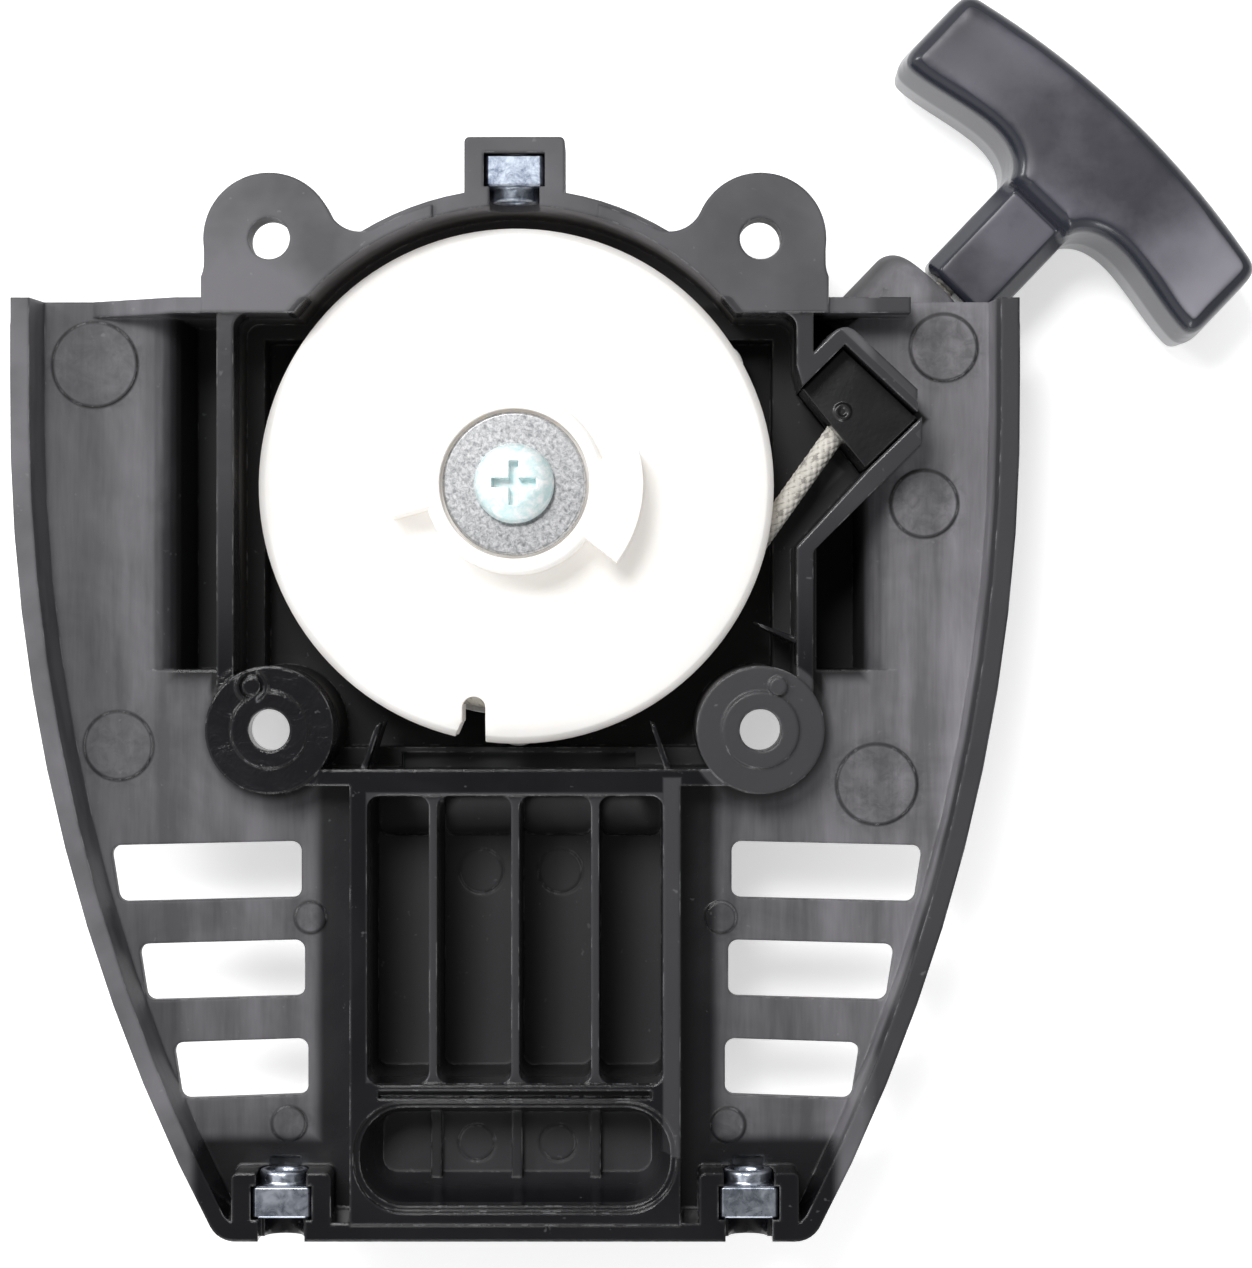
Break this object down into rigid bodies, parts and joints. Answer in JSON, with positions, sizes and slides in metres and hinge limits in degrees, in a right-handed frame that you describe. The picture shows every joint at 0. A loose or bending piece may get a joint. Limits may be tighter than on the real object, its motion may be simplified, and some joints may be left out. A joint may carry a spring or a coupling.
{
  "type": "recoil starter",
  "caption": "Small-engine recoil starter: black cover with air duct and vented wings, white rope reel with drive dogs, rewind spring, braided rope and T-handle.",
  "frame": {"origin": "on the reel's axis, in the plane of the four mounting faces, at the centre of the four mounting holes", "axes": "+Z along the reel's axis towards the engine; +Y towards the top tab; +X towards the side where the rope leaves"},
  "size_m": [0.1667, 0.167, 0.032],
  "materials": {
    "cover_plastic": "moulded black nylon, satin with fine texture",
    "guide_plastic": "black acetal, satin",
    "eyelet_steel": "polished rounded lip",
    "case_plastic": "dark grey nylon",
    "cover_steel": "zinc-plated sheet",
    "screw_zinc": "bright zinc with a blue tint",
    "spring_steel": "blued strip",
    "washer_steel": "mottled zinc plating",
    "insert_brass": "turned",
    "rope_braid": "braided polyester with dark flecks",
    "nut_zinc": "bright zinc plating",
    "reel_nylon": "natural white nylon, satin",
    "handle_plastic": "black moulded, satin"
  },
  "bodies": {
    "housing": {"housing": "cover_plastic", "rope_guide": "guide_plastic", "guide_eyelet": "eyelet_steel", "spring_case": "case_plastic", "spring_cover": "cover_steel", "case_screws": "screw_zinc", "rewind_spring": "spring_steel", "thrust_washer": "washer_steel", "post_insert": "insert_brass", "retaining_washer": "washer_steel", "center_screw": "screw_zinc", "rope_lead": "rope_braid", "top_nut": "nut_zinc", "left_nut": "nut_zinc", "right_nut": "nut_zinc"},
    "reel": {"reel": "reel_nylon", "reel_bush": "insert_brass", "rope_wound": "rope_braid", "reel_knot": "rope_braid"},
    "handle": {"handle_grip": "handle_plastic", "handle_washer": "washer_steel", "handle_knot": "rope_braid", "rope_tail": "rope_braid"}
  },
  "joints": [
    {"name": "reel_spin", "type": "hinge", "parent": "housing", "child": "reel", "pos_m": [0, 0, 0], "axis": [0, 0, 1], "range_deg": [0, 1440], "stiffness_Nm_per_rad": 0.01, "springref_deg": -719.98},
    {"name": "handle_pull", "type": "slide", "parent": "housing", "child": "handle", "axis": [0.6909, 0.723, 0], "range_m": [0, 0.67]}
  ],
  "couplings": [
    {"joint": "handle_pull", "follows": "reel_spin", "m_per_rad": 0.0266}
  ]
}
